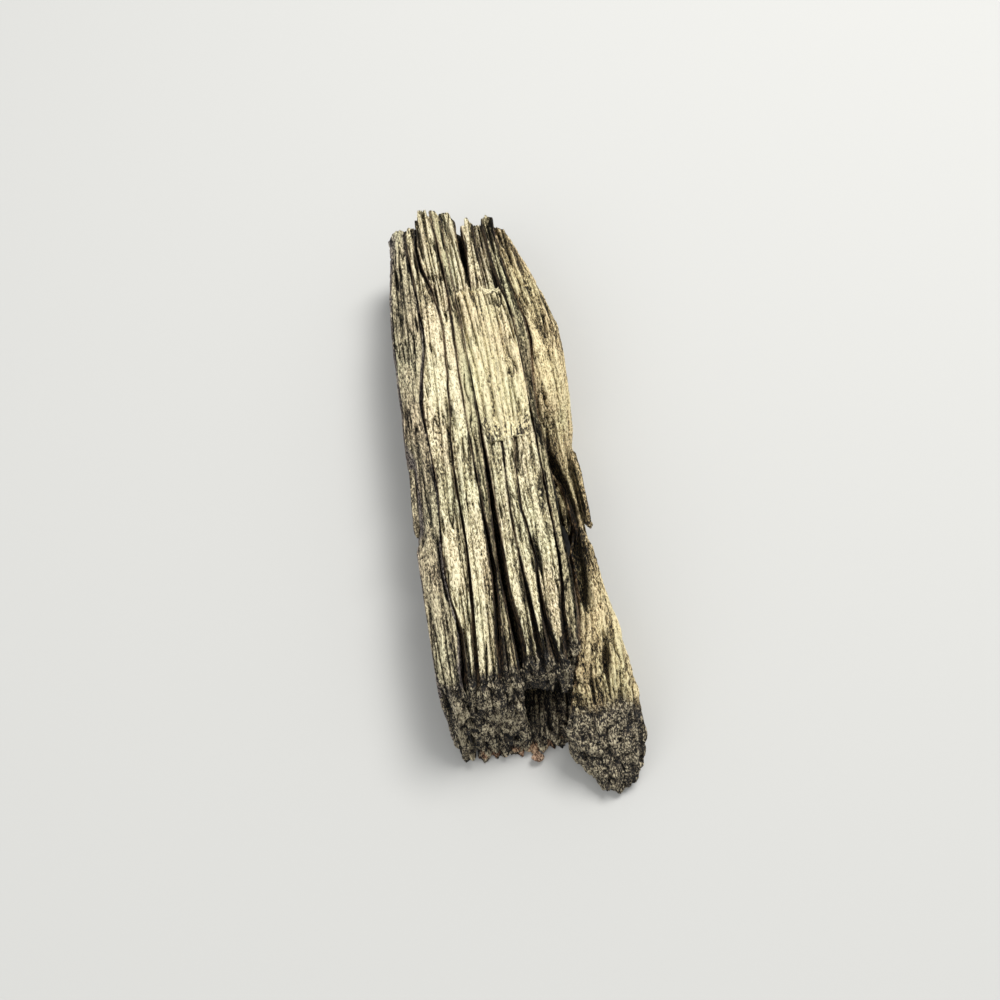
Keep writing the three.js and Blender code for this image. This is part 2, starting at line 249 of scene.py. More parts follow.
# Checks and pits that stand inside a stave, seen from above.
CHECKS = (
    Check(((-12.5, 37.0), (-12.6, 41.0)), 0.5, 1.6),
    Check(((9.0, 5.0), (9.4, 10.0), (9.8, 20.0), (9.9, 33.0)), 0.7, 1.1),
    Check(((-1.8, -10.0), (-1.8, -14.0)), 0.4, 1.8),
    Check(((1.3, 2.2), (1.3, 3.2)), 0.6, 1.2),
    Check(((3.8, 1.7), (3.8, 2.7)), 0.7, 1.2),
    Check(((4.1, -27.0), (4.0, -19.5)), 1.1, 2.4),
    Check(((2.6, -26.0), (2.6, -23.5)), 0.7, 1.8),
    Check(((3.1, -28.6), (3.1, -27.4)), 0.6, 1.6),
    Check(((-8.0, 9.0), (-8.1, 17.0)), 0.8, 0.9),
    Check(((-5.5, 2.5), (-5.4, 7.5)), 0.6, 1.4),
    Check(((-14.0, -15.0), (-14.0, -11.0)), 0.5, 1.2),
    Check(((-15.7, -29.0), (-15.7, -15.0)), 0.65, 2.0),
    Check(((-2.4, 29.7), (-2.4, 30.9)), 0.7, 1.4),
    Check(((12.4, 10.0), (12.2, 5.0), (13.0, 2.0), (13.0, -2.0)), 0.8, 2.4),
    Check(
        ((12.0, 4.0), (13.6, -4.0), (14.2, -10.0), (13.6, -17.0), (13.0, -25.0), (12.4, -32.0)),
        2.2,
        6.0,
    ),
    Check(((16.3, 3.0), (16.2, -4.0), (16.6, -12.0)), 1.2, 4.0),
    Check(((15.7, -38.5), (15.7, -36.5)), 0.7, 1.6),
    Check(((16.5, -47.0), (15.7, -43.0)), 0.6, 1.6),
    Check(((13.4, -49.0), (14.3, -43.6)), 2.9, 7.5),
    Check(((-13.6, -46.5), (-13.4, -36.0)), 0.5, 1.8),
    Check(((-10.4, -46.5), (-9.4, -39.0)), 0.4, 1.4),
    Check(((10.0, -55.0), (10.0, -51.0)), 0.7, 2.0),
    Check(((-15.3, 50.5), (-15.3, 56.5)), 0.7, 2.4),
    Check(((-10.3, 54.0), (-10.3, 59.0)), 0.8, 2.4),
    Check(((-7.0, 41.0), (-7.0, 48.0)), 0.5, 2.0),
    Check(((-4.3, 40.0), (-4.3, 48.0)), 0.5, 2.0),
    Check(((18.1, 37.0), (18.1, 42.0)), 1.0, 1.8),
    Check(((-10.0, -47.5), (-10.0, -49.0)), 1.0, 1.6),
    Check(((1.4, 56.0), (1.4, 68.0)), 1.8, 3.0),
    Check(((-12.0, 55.0), (-12.1, 68.0)), 0.7, 2.6),
    Check(((-8.5, 57.0), (-8.6, 70.0)), 0.5, 2.0),
    Check(((-2.9, 58.0), (-2.9, 69.0)), 0.8, 2.6),
    Check(((4.7, 56.0), (4.6, 67.0)), 0.7, 2.6),
    Check(((6.3, 60.0), (6.2, 68.0)), 0.4, 1.6),
    Check(((8.4, 56.0), (8.2, 67.0)), 0.6, 2.2),
    Check(((12.1, 53.0), (11.9, 65.0)), 0.7, 2.4),
)


@dataclass(frozen=True)
class Patch:
    """A soft-edged area of the upper faces that is paler or darker than the rest, in mm."""

    x: float
    y: float
    half_width: float
    half_length: float
    amount: float

    def at(self, x: np.ndarray, y: np.ndarray) -> np.ndarray:
        """Gives what this patch adds to the tone.

        Args:
            x, y: places seen from above, in mm.

        Returns:
            Shares of the range of tones, the full amount in the middle of the patch.
        """
        along = y + DRAWN_MIDDLE - self.y
        away = ((x - self.x) / self.half_width) ** 2 + (along / self.half_length) ** 2
        return self.amount * np.exp(-away)


PATCHES = (
    Patch(1.0, 27.0, 13.0, 22.0, 0.42),
    Patch(16.5, -40.0, 5.0, 13.0, 0.42),
    Patch(-11.0, -34.0, 6.0, 13.0, 0.26),
    Patch(-4.0, 63.0, 14.0, 10.0, 0.26),
    Patch(12.3, 46.0, 1.6, 3.0, 0.35),
    # Paler strip down the right edge, where the wood faces the key light: painted light.
    Patch(17.5, 26.0, 2.6, 17.0, 0.2),
    Patch(8.5, 46.0, 3.0, 6.0, -0.22),
    Patch(-10.5, 64.0, 2.5, 6.0, -0.25),
    Patch(14.0, -20.0, 4.0, 12.0, -0.42),
    Patch(-17.0, 30.0, 1.6, 12.0, -0.15),
)


# ---- Finishes ------------------------------------------------------------------------------------


def linear(colour: str) -> tuple[float, float, float, float]:
    """Turns an sRGB colour into a linear one.

    Args:
        colour: such as "#8c7c5a".

    Returns:
        Red, green, blue and alpha.
    """
    parts = [int(colour[i : i + 2], 16) / 255 for i in (1, 3, 5)]
    values = [part / 12.92 if part <= 0.04045 else ((part + 0.055) / 1.055) ** 2.4 for part in parts]
    return (*values, 1.0)


def add_node(tree: bpy.types.NodeTree, kind: str, links: dict | None = None, **settings) -> bpy.types.Node:
    """Adds a shader node.

    Args:
        tree: the material's node tree.
        kind: the node's type, such as "ShaderNodeBump".
        links: input name or number to a value, or to the output socket that feeds it.
        settings: attributes of the node.

    Returns:
        The new node.
    """
    node = tree.nodes.new(kind)
    for name, value in settings.items():
        setattr(node, name, value)
    for key, value in (links or {}).items():
        socket = node.inputs[key]
        if isinstance(value, bpy.types.NodeSocket):
            tree.links.new(value, socket)
        else:
            socket.default_value = value
    return node


@dataclass(frozen=True)
class WeatheredWood:
    """Split hardwood, bleached by sun and rain on its ridges and charred where the fire ran.

    The rain washes the brown out of the raised fibres and leaves them tan, while the grooves keep
    dirt and char, and the tone is darkened with the depth of wear as painted shade on top of that, so
    the surface is matt and strongly lined. Each ramp runs from the bottom of a groove to the palest
    fibres: tones on bleached faces; a darker ramp on side walls, which are unbleached wood darkened
    further by painted shade from the checks they face; coals where it is burnt. The palest specks of
    grit on wood and on coals stand in part for glints, as painted highlights. Real fibres are about
    0.02 mm thick, which is too fine to show, so they are drawn as bundles 0.4 mm wide. Widths and
    runs are mm.
    """

    name: str
    tones: tuple[str, ...] = ("#100e0b", "#544d3e", "#a09678", "#d4caa6", "#fdf6da")
    # Ramp for side walls: unbleached wood, near black here to hold the painted shade of the narrow checks
    # between ribs.
    fresh_and_shaded: tuple[str, ...] = ("#050403", "#1a1510", "#3a2f23", "#5d4d3a", "#857258")
    # Char ramp: near black up to a pale top that the noise reaches in specks, crumbs of char and in part
    # painted glints.
    coals: tuple[str, ...] = ("#020202", "#17130f", "#463c2f", "#7a6c56", "#c4b899")
    rusty: str = "#fff3e8"
    mossy: str = "#fdfff2"
    roughness: float = 0.92
    char_roughness: float = 0.55
    bump_height: float = 0.13
    fibre_width: float = 0.42
    fibre_run: float = 4.0
    grit_and_glints: float = 0.24
    stain: float = 7.0

    def material(self) -> bpy.types.Material:
        """Builds the finish, which reads the tone, the share of unbleached and shaded wall, and the burn
        stored on a piece.

        Returns:
            The material.
        """
        material = bpy.data.materials.new(self.name)
        material.use_nodes = True
        tree = material.node_tree
        tree.nodes.clear()
        place = add_node(tree, "ShaderNodeTexCoord").outputs["Object"]
        noise = {}
        for name, width, run, low in (
            ("fibres", self.fibre_width, self.fibre_run, 0.3),
            ("grit_and_glints", self.grit_and_glints, 3.0 * self.grit_and_glints, 0.36),
            ("crumbs_and_glints", 2.4 * self.grit_and_glints, 2.4 * self.grit_and_glints, 0.33),
            ("stain", self.stain, 2.5 * self.stain, 0.3),
        ):
            scale = (1 / (width * MM), 1 / (run * MM), 1 / (width * MM))
            drawn = add_node(tree, "ShaderNodeMapping", {"Vector": place, "Scale": scale}).outputs["Vector"]
            settings = {"Vector": drawn, "Scale": 1.0, "Detail": 4.0, "Roughness": 0.6}
            value = add_node(tree, "ShaderNodeTexNoise", settings).outputs["Fac"]
            spread = {"Value": value, "From Min": low, "From Max": 1 - low}
            noise[name] = add_node(tree, "ShaderNodeMapRange", spread).outputs["Result"]
        stored = {
            name: add_node(tree, "ShaderNodeAttribute", attribute_name=name).outputs["Fac"]
            for name in ("tone", "fresh_and_shaded", "burn")
        }

        # Each noise is 0.5 on average, so the offset brings the mean back near the stored tone.
        levels = {}
        # The high ends of the grit and crumb noise reach the palest stops: the grain's own specks, and in
        # part painted glints.
        for name, start, offset, shares in (
            ("wood", stored["tone"], -0.92, {"fibres": 0.75, "grit_and_glints": 1.0, "stain": 0.14}),
            ("coal", stored["tone"], -0.99, {"crumbs_and_glints": 0.9, "grit_and_glints": 1.3}),
            ("edge", stored["burn"], -0.2, {"stain": 0.2, "grit_and_glints": 0.2}),
        ):
            level = add_node(tree, "ShaderNodeMath", {0: start, 1: offset}, operation="ADD").outputs[0]
            for part, share in shares.items():
                links = {0: noise[part], 1: share, 2: level}
                level = add_node(tree, "ShaderNodeMath", links, operation="MULTIPLY_ADD").outputs[0]
            levels[name] = level
        ramps = {}
        for name, level, colours in (
            ("tones", levels["wood"], self.tones),
            ("fresh_and_shaded", levels["wood"], self.fresh_and_shaded),
            ("coals", levels["coal"], self.coals),
        ):
            ramp = add_node(tree, "ShaderNodeValToRGB", {"Fac": level})
            stops = ramp.color_ramp.elements
            while len(stops) < len(colours):
                stops.new(1.0)
            for number, (stop, colour) in enumerate(zip(stops, colours)):
                stop.position = number / (len(colours) - 1)
                stop.color = linear(colour)
            ramps[name] = ramp.outputs["Color"]
        sides = {"Factor": stored["fresh_and_shaded"], 6: ramps["tones"], 7: ramps["fresh_and_shaded"]}
        wood = add_node(tree, "ShaderNodeMix", sides, data_type="RGBA").outputs[2]
        hues = {"Factor": noise["stain"], 6: linear(self.rusty), 7: linear(self.mossy)}
        hue = add_node(tree, "ShaderNodeMix", hues, data_type="RGBA").outputs[2]
        tinted = {"Factor": 1.0, 6: wood, 7: hue}
        wood = add_node(tree, "ShaderNodeMix", tinted, data_type="RGBA", blend_type="MULTIPLY").outputs[2]
        border = {"Value": levels["edge"], "From Min": 0.4, "From Max": 0.6}
        burnt = add_node(tree, "ShaderNodeMapRange", border).outputs["Result"]
        layers = {"Factor": burnt, 6: wood, 7: ramps["coals"]}
        colour = add_node(tree, "ShaderNodeMix", layers, data_type="RGBA")

        links = {0: noise["grit_and_glints"], 1: 1.4, 2: noise["fibres"]}
        height = add_node(tree, "ShaderNodeMath", links, operation="MULTIPLY_ADD").outputs[0]
        grain = {"Strength": 1.0, "Distance": self.bump_height * MM, "Height": height}
        bump = add_node(tree, "ShaderNodeBump", grain)
        # Burnt cells shine a little where the char has broken clean; weathered wood doesn't.
        range_of_gloss = {"Value": burnt, "To Min": self.roughness, "To Max": self.char_roughness}
        shine = add_node(tree, "ShaderNodeMapRange", range_of_gloss)
        shader = add_node(
            tree,
            "ShaderNodeBsdfPrincipled",
            {
                "Base Color": colour.outputs[2],
                "Roughness": shine.outputs["Result"],
                "IOR": 1.5,
                "Specular IOR Level": 0.4,
                "Normal": bump.outputs["Normal"],
            },
        )
        add_node(tree, "ShaderNodeOutputMaterial", {"Surface": shader.outputs["BSDF"]})
        return material


# ---- Measuring and growing a stave ---------------------------------------------------------------


class Solid:
    """The solid of one stave in the frame, cut across the grain to measure it."""

    def __init__(self, node: str) -> None:
        """Reads the solid, in mm.

        Args:
            node: its name in the frame.
        """
        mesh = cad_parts[node].data
        mesh.calc_loop_triangles()
        self.points = np.array([vertex.co for vertex in mesh.vertices]) / MM
        faces = np.array([triangle.vertices for triangle in mesh.loop_triangles])
        self.edges = np.vstack([faces[:, (0, 1)], faces[:, (1, 2)], faces[:, (2, 0)]])
        self.low = self.points.min(0)
        self.high = self.points.max(0)

    def near_slope(self) -> float:
        """Measures the sloping near face.

        Returns:
            How far the face runs back for each mm up.
        """
        height = self.high[2] - self.low[2]
        first = self.points[self.points[:, 2] < self.low[2] + 0.2 * height]
        near_low = first[first[:, 1].argmin()]
        upper = self.points[self.points[:, 2] > self.low[2] + 0.6 * height]
        near_high = upper[upper[:, 1].argmin()]
        rise = near_high[2] - near_low[2]
        return max(0.0, (near_high[1] - near_low[1]) / rise)

    def cut(self, y: float, slope: float) -> np.ndarray:
        """Cuts the solid with a plane across it.

        Args:
            y: where the plane meets the top of the stave.
            slope: how far the plane runs back for each mm up.

        Returns:
            The (x, z) points where the plane crosses the solid's edges.
        """
        side = self.points[:, 1] - slope * (self.points[:, 2] - self.high[2]) - y
        start, end = self.edges[:, 0], self.edges[:, 1]
        crossing = (side[start] < 0) != (side[end] < 0)
        start, end = start[crossing], end[crossing]
        share = side[start] / (side[start] - side[end])
        found = self.points[start] + share[:, None] * (self.points[end] - self.points[start])
        return found[:, (0, 2)]


def outline(points: np.ndarray, middle: np.ndarray, angles: np.ndarray) -> np.ndarray:
    """Gives the distance from a middle to a closed outline in each direction.

    Args:
        points: (x, z) corners of the outline, in any order.
        middle: a point inside it that sees all of it.
        angles: the directions, in radians.

    Returns:
        One distance for each angle.
    """
    spokes = points - middle
    bearing = np.arctan2(spokes[:, 1], spokes[:, 0])
    order = np.argsort(bearing)
    bearing, spokes = bearing[order], spokes[order]
    keep = np.append(np.diff(bearing) > 1e-5, True)
    bearing, spokes = bearing[keep], spokes[keep]
    turned = (angles + math.pi) % (2 * math.pi) - math.pi
    after = np.searchsorted(bearing, turned) % len(bearing)
    before = after - 1
    start, side = spokes[before], spokes[after] - spokes[before]
    ray = np.stack([np.cos(angles), np.sin(angles)], 1)
    down = ray[:, 0] * side[:, 1] - ray[:, 1] * side[:, 0]
    up = start[:, 0] * side[:, 1] - start[:, 1] * side[:, 0]
    return up / np.where(np.abs(down) < 1e-9, 1e-9, down)


@dataclass
class Stave:
    """One stave of the stick, grown as a fine mesh over its solid in the frame.

    Rows of points run round the stave, from the middle of its near end, along it, to the middle of
    its far end. Lengths are mm, and shares are 0 to 1.
    """

    node: str  # the solid that it is measured from
    finish: WeatheredWood
    walls: Walls = Walls.NONE
    relief: Relief = Relief()
    near: BrokenEnd = BrokenEnd()
    far: BrokenEnd = BrokenEnd()
    bleach: float = 0.5  # how pale the sun has left it, as a share
    burn_near: float = 1.5  # how far the burn runs back from the near end
    burn_all: float = 0.0  # how burnt it is all over, as a share
    burn_from: float = 0.0  # when set, the place along the stick where the burn ends instead
    crumbling: float = 0.0  # how rotted the foot of the near end is, as a share
    pointed: bool = False  # tapers to a point at both ends
    square: float = 0.0  # how much of its rounding the top loses, as a share
    grow: float = 0.16  # how far it swells out to meet its neighbours
    grow_far: float = 0.0  # how much more it does at the far end
    part_near: float = 0.0  # how much more its top does at the near end
    join_near: float = 0.0  # how much more its lower walls do at the near end
    overhang: float = 0.0  # how far the near end runs past the solid
    sink: float = 0.0  # how far the whole top is lowered
    sink_near: float = 0.0  # how much more it is at the near end
    fray_near: float = 0.4  # how much deeper the ridges are worn at the near end, as a share
    wall_wear: float = 0.2  # how much of the wear the side walls take, as a share
    swell: float = 0.12  # how far the side walls wander
    around: float = 0.16  # spacing of the points round the stave
    along: float = 0.4  # spacing of the rows
    seed: int = 0  # picks its own stretch of the patterns
    piece: bpy.types.Object = field(init=False)

    def build(self) -> bpy.types.Object:
        """Makes the piece, dresses it and puts it in the frame.

        Returns:
            The piece.
        """
        rows, middles, rim, from_near, from_far = self._rows()
        points, groove, normal = self._worn(rows, middles, rim, from_near, from_far)
        self._make(points)
        self._paint(points, groove, normal, from_near)
        self.piece.data.materials.append(self.finish.material())
        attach(self.piece, "root")
        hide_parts(self.node)
        return self.piece

    def _rows(self) -> tuple[np.ndarray, np.ndarray, np.ndarray, np.ndarray, np.ndarray]:
        """Measures the solid in sections from its near end to its far end, and closes both ends.

        Returns:
            The points of each row, the middle of each row's section, how near each row is to the
            rim of an end (1 on the sides), and each row's distance from the near and far ends.
        """
        solid = Solid(self.node)
        slope = solid.near_slope()
        inside = 0.05
        top = solid.high[2]
        upper = solid.points[:, 2] > solid.low[2] + 0.6 * (top - solid.low[2])
        first = solid.points[upper][solid.points[upper][:, 1].argmin()]
        start = first[1] - slope * (first[2] - top) + inside
        end = solid.high[1] - inside
        count = max(12, round((end - start) / self.along))
        stations = np.linspace(start, end, count)
        slopes = slope * smooth_step(stations, start + 15.0, start)
        sections = [solid.cut(y, k) for y, k in zip(stations, slopes)]
        middles = np.array([(cut.min(0) + cut.max(0)) / 2 for cut in sections])
        angles = self._angles(sections[count // 2], middles[count // 2])
        reach = np.array([outline(cut, middle, angles) for cut, middle in zip(sections, middles)])
        reach = self._eased(reach)

        size = float(reach.mean())
        caps = max(4, round(size / self.around / 1.3))
        shares = np.linspace(0.04, 1.0, caps, endpoint=False)
        rim = np.concatenate([shares, np.ones(count), shares[::-1]])
        pick = np.concatenate([np.zeros(caps, int), np.arange(count), np.full(caps, count - 1)])
        radius = reach[pick] * rim[:, None]
        x = middles[pick, 0][:, None] + radius * np.cos(angles)
        z = middles[pick, 1][:, None] + radius * np.sin(angles)
        y = stations[pick][:, None] + slopes[pick][:, None] * (z - top)
        if self.pointed:
            share = np.clip((stations[pick] - start) / (end - start), 0.02, 0.98)
            middle = z.mean(1, keepdims=True)
            z = middle + (z - middle) * np.sqrt(4 * share * (1 - share))[:, None]
        rows = np.stack([x, y, z], -1)
        from_near = stations[pick] - start
        from_far = end - stations[pick]
        return rows, middles[pick], rim, from_near, from_far

    def _angles(self, section: np.ndarray, middle: np.ndarray) -> np.ndarray:
        """Spaces the directions round a section so that the points lie evenly on its outline.

        Args:
            section: (x, z) corners of the outline.
            middle: a point inside it.

        Returns:
            The directions, in radians, from straight down and round.
        """
        fine = np.linspace(-0.5 * math.pi, 1.5 * math.pi, 1441)
        reach = outline(section, middle, fine)
        x, z = reach * np.cos(fine), reach * np.sin(fine)
        steps = np.hypot(np.diff(x), np.diff(z))
        length = np.concatenate([[0], np.cumsum(steps)])
        count = max(16, round(length[-1] / self.around))
        return np.interp(np.linspace(0, length[-1], count, endpoint=False), length, fine)

    def _eased(self, reach: np.ndarray) -> np.ndarray:
        """Rounds off the corners and the joins between the solid's facets.

        Args:
            reach: distance from the middle for each section and direction.

        Returns:
            The same distances, eased round the sections and then along the stave.
        """
        for _ in range(4):
            reach = 0.5 * reach + 0.25 * (np.roll(reach, 1, 1) + np.roll(reach, -1, 1))
        for _ in range(6):
            inner = 0.5 * reach[1:-1] + 0.25 * (reach[:-2] + reach[2:])
            reach = np.vstack([reach[:1], inner, reach[-1:]])
        return reach

    def _normals(self, rows: np.ndarray) -> np.ndarray:
        """Gives the outward direction at each point.

        Args:
            rows: the points of each row.

        Returns:
            Unit vectors, one for each point.
        """
        round_step = np.roll(rows, -1, 1) - np.roll(rows, 1, 1)
        along_step = np.gradient(rows, axis=0)
        normal = np.cross(along_step, round_step)
        length = np.linalg.norm(normal, axis=-1, keepdims=True)
        return normal / np.maximum(length, 1e-9)

    def _worn(
        self,
        rows: np.ndarray,
        middles: np.ndarray,
        rim: np.ndarray,
        from_near: np.ndarray,
        from_far: np.ndarray,
    ) -> tuple[np.ndarray, np.ndarray, np.ndarray]:
        """Wears the measured surface: checks, ridges, pits and broken ends.

        The top wears straight down, so that a stave keeps its width, and the sides wear inward.

        Args:
            rows: the measured points of each row.
            middles: the middle of each row's section.
            rim: how near each row is to the rim of an end, 1 on the sides.
            from_near, from_far: each row's distance from the two ends.

        Returns:
            The points, the depth of wear at each, and the outward directions before wear.
        """
        normal = self._normals(rows)
        x, y, z = rows[..., 0], rows[..., 1], rows[..., 2]
        up = smooth_step(normal[..., 2], 0.25, 0.65)
        depth = self._wear(rows, middles, up, from_near, from_far)
        swell = Lattice(self.relief.seed + 7 + self.seed).at(x / 3.0, y / 4.5, z / 3.0)
        on_side = np.broadcast_to(smooth_step(rim, 0.55, 1.0)[:, None], x.shape)
        lying = smooth_step(-normal[..., 2], 0.5, 0.9)
        room = 0.8 * np.hypot(x - middles[:, 0][:, None], z - middles[:, 1][:, None])
        worn = np.minimum(depth, room)
        below = z.max(1, keepdims=True) - z
        grow = self.grow + self.grow_far * np.exp(-from_far / 9.0)[:, None]
        grow = grow + self.part_near * np.exp(-from_near / 12.0)[:, None] * smooth_step(below, 3.5, 1.5)
        grow = grow + self.join_near * np.exp(-from_near / 6.0)[:, None] * smooth_step(below, 2.0, 4.0)
        sideways = grow + self.swell * swell - np.minimum(worn, 1.0) * self.wall_wear
        points = rows + normal * (sideways * (1 - up) * (1 - lying) * on_side)[..., None]
        lift = self.square * below * np.clip(1 - below / 2.5, 0, 1)
        points[..., 2] += (self.grow - self.sink - worn) * up * on_side + lift
        points[..., 2] -= self.sink_near * np.exp(-from_near / 4.0)[:, None] * up

        lumps = self._char(rows, from_near)
        points += normal * (0.6 * lumps * (1 - lying))[..., None]
        back_near, back_far = self._set_backs(rows, rim)
        points[..., 1] += (back_near - self.overhang) * np.exp(-from_near / self.near.reach)[:, None]
        points[..., 1] -= back_far * np.exp(-from_far / self.far.reach)[:, None]
        points = np.clip(points, np.array(CAD_BOX[0]) / MM, np.array(CAD_BOX[1]) / MM)
        on_cap = 1 - on_side
        near_half = (from_near < from_far)[:, None]
        # The depth stored here sets the tone: the set-back parts of a burnt near end are darker, as painted
        # shade in its recesses, and the lumps of char are paler and their cracks darker, as painted light
        # and shade.
        hollow = np.where(near_half & (self.burn_near > 0), back_near - 0.5 * back_near[0].max(), 0.0)
        depth = depth * on_side + on_cap * (0.35 + 0.5 * hollow) - 0.75 * lumps
        return points, depth, normal

    def _wear(
        self,
        rows: np.ndarray,
        middles: np.ndarray,
        up: np.ndarray,
        from_near: np.ndarray,
        from_far: np.ndarray,
    ) -> np.ndarray:
        """Gives the depth of the ridges, pits and checks.

        On the top the pattern follows the bend of the stave, and on its sides it runs round it.

        Args:
            rows: the measured points of each row.
            middles: the middle of each row's section.
            up: 1 where the surface faces up, 0 on the sides.
            from_near, from_far: each row's distance from the two ends.

        Returns:
            Depths in mm.
        """
        x, y = rows[..., 0], rows[..., 1]
        fray = self.fray_near * np.exp(-from_near / 6.0) + 0.7 * np.exp(-from_far / 12.0)
        fray = np.broadcast_to(fray[:, None], x.shape)
        bend = np.polynomial.Polynomial.fit(y.mean(1), middles[:, 0], 2)
        drift = bend(y.mean(1)) - middles[len(middles) // 2, 0]
        around = np.broadcast_to(np.arange(x.shape[1]) * self.around, x.shape)
        depth = up * self.relief.depth(x - drift[:, None], y, 0, fray)
        depth += (1 - up) * self.relief.depth(around, y, self.seed, fray)
        for check in CHECKS:
            depth = depth + check.depth_at(x, y) * up
        return depth

    def _char(self, rows: np.ndarray, from_near: np.ndarray) -> np.ndarray:
        """Gives the lumps of char at a burnt near end, and the cracks between them.

        Args:
            rows: the measured points of each row.
            from_near: each row's distance from the near end.

        Returns:
            Heights in mm, falling to 0 away from the burn.
        """
        x, y, z = rows[..., 0], rows[..., 1], rows[..., 2]
        char = Lattice(self.seed + 90)
        lumps = char.at(x / 2.2, y / 2.2, z / 2.2) + 0.6 * char.at(x / 0.9, y / 0.9, z / 0.9)
        cracks = np.exp(-((char.at(x / 4.0 + 9, y / 4.0, z / 4.0) / 0.07) ** 2))
        burnt = np.exp(-from_near / max(self.burn_near, NO_BURN))[:, None] * (self.burn_near > 1)
        return (lumps - 1.3 * cracks) * burnt

    def _set_backs(self, rows: np.ndarray, rim: np.ndarray) -> tuple[np.ndarray, np.ndarray]:
        """Gives how far the wood lies back from the two ends.

        Args:
            rows: the measured points of each row.
            rim: how near each row is to the rim of an end, 1 on the sides.

        Returns:
            Distances in mm from the near end and from the far end.
        """
        x, y, z = rows[..., 0], rows[..., 1], rows[..., 2]
        rim = np.broadcast_to(rim[:, None], x.shape)
        near = self.near.set_back(x, z, rim)
        far = self.far.set_back(x, z, rim)
        near -= near[0].min()
        far -= far[-1].min()
        if self.far.line:
            xs, ends = np.array(self.far.line).T
            far = far * 0.4 + np.maximum(y[-1].max() - np.interp(x, xs, ends) + DRAWN_MIDDLE, 0)
        return near, far

    def _make(self, points: np.ndarray) -> None:
        """Makes the mesh: the rows joined by quads, and each end closed by a fan.

        Args:
            points: the worn points of each row, in mm.
        """
        rows, count = points.shape[:2]
        ends = np.stack([points[0].mean(0), points[-1].mean(0)])
        places = np.vstack([points.reshape(-1, 3), ends]) * MM
        index = np.arange(rows * count).reshape(rows, count)
        turned = np.roll(index, -1, 1)
        quads = np.stack([index[:-1], turned[:-1], turned[1:], index[1:]], -1).reshape(-1, 4)
        near = np.stack([turned[0], index[0], np.full(count, rows * count)], -1)
        far = np.stack([index[-1], turned[-1], np.full(count, rows * count + 1)], -1)
        corners = np.concatenate([quads.ravel(), near.ravel(), far.ravel()])
        sizes = np.concatenate([np.full(len(quads), 4), np.full(2 * count, 3)])
        mesh = bpy.data.meshes.new(self.node + "_wood")
        mesh.vertices.add(len(places))
        mesh.vertices.foreach_set("co", places.ravel())
        mesh.loops.add(len(corners))
        mesh.loops.foreach_set("vertex_index", corners)
        mesh.polygons.add(len(sizes))
        mesh.polygons.foreach_set("loop_start", np.concatenate([[0], np.cumsum(sizes)[:-1]]))
        mesh.polygons.foreach_set("use_smooth", np.ones(len(sizes), bool))
        mesh.update()
        mesh.validate()
        self.piece = bpy.data.objects.new(self.node + "_wood", mesh)
        bpy.context.scene.collection.objects.link(self.piece)

    def _paint(
        self, points: np.ndarray, groove: np.ndarray, normal: np.ndarray, from_near: np.ndarray
    ) -> None:
        """Stores the tone, with painted shade in grooves, recesses and on faces turned down, and the shares
        of shaded unbleached wall and of burn, for the finish to read.

        Args:
            points: the worn points of each row, in mm.
            groove: the depth of wear at each point.
            normal: the outward direction at each point.
            from_near: each row's distance from the near end.
        """
        x, y, z = points[..., 0], points[..., 1], points[..., 2]
        # Darker with the depth of wear: dirt kept in the grooves, and in part painted shade in grooves and
        # checks.
        tone = self.bleach - 0.55 * (np.clip(groove, -0.5, 1.8) - 0.35)
        for patch in PATCHES:
            tone = tone + patch.at(x, y)
        # Side walls take a darker ramp and 0.15 less tone: unbleached wood, and in part painted shade from
        # the checks they face.
        left = smooth_step(-normal[..., 0], 0.75, 1.0) * (self.walls in (Walls.LEFT, Walls.BOTH))
        right = smooth_step(normal[..., 0], 0.75, 1.0) * (self.walls in (Walls.RIGHT, Walls.BOTH))
        fresh_and_shaded = left + right
        # Faces turned down lose up to 0.2 of tone: painted shade under the stave.
        tone = tone - 0.15 * fresh_and_shaded - 0.2 * smooth_step(-normal[..., 2], 0.3, 0.8)
        reach = max(self.burn_near, NO_BURN)
        burn = np.maximum(self.burn_all, np.exp(-from_near / reach)[:, None] * (self.burn_near > 0))
        if self.burn_from:
            burn = smooth_step(-y - DRAWN_MIDDLE, -self.burn_from - 7.0, -self.burn_from + 7.0)
        foot = smooth_step(z, 4.0, 1.0) * np.exp(-from_near / 3.0)[:, None] * self.crumbling
        rotted = foot * smooth_step(Lattice(self.seed + 60).at(x / 2.0, y / 2.0, z / 2.0), -0.1, 0.2)
        fresh_and_shaded = np.maximum(fresh_and_shaded, rotted)
        tone = tone + 0.3 * rotted
        burn = np.broadcast_to(burn, x.shape) * (1 - rotted)
        # Char takes a mid tone, darker with depth: painted shade in its grooves and cracks.
        charred = 0.55 - 0.5 * (np.clip(groove, -0.5, 1.4) - 0.35)
        tone = tone + (charred - tone) * smooth_step(burn, 0.2, 0.6)
        for name, values in (("tone", tone), ("fresh_and_shaded", fresh_and_shaded), ("burn", burn)):
            flat = np.clip(values, 0, 1).ravel()
            ends = [values[0].mean(), values[-1].mean()]
            attribute = self.piece.data.attributes.new(name, "FLOAT", "POINT")
            attribute.data.foreach_set("value", np.append(flat, ends).astype(np.float32))


# ---- The stick -----------------------------------------------------------------------------------

# Split hardwood after years of sun and rain: tan ridges over near-black grooves, dark in part with painted
# shade.
TAN = WeatheredWood("sun_bleached_wood")
# The outermost layer of the same wood, the most washed out, so its grooves are pale too.
PALE = WeatheredWood("pale_bleached_wood", tones=("#221e17", "#62594a", "#a59a7a", "#d8cda6", "#f9f0cf"))
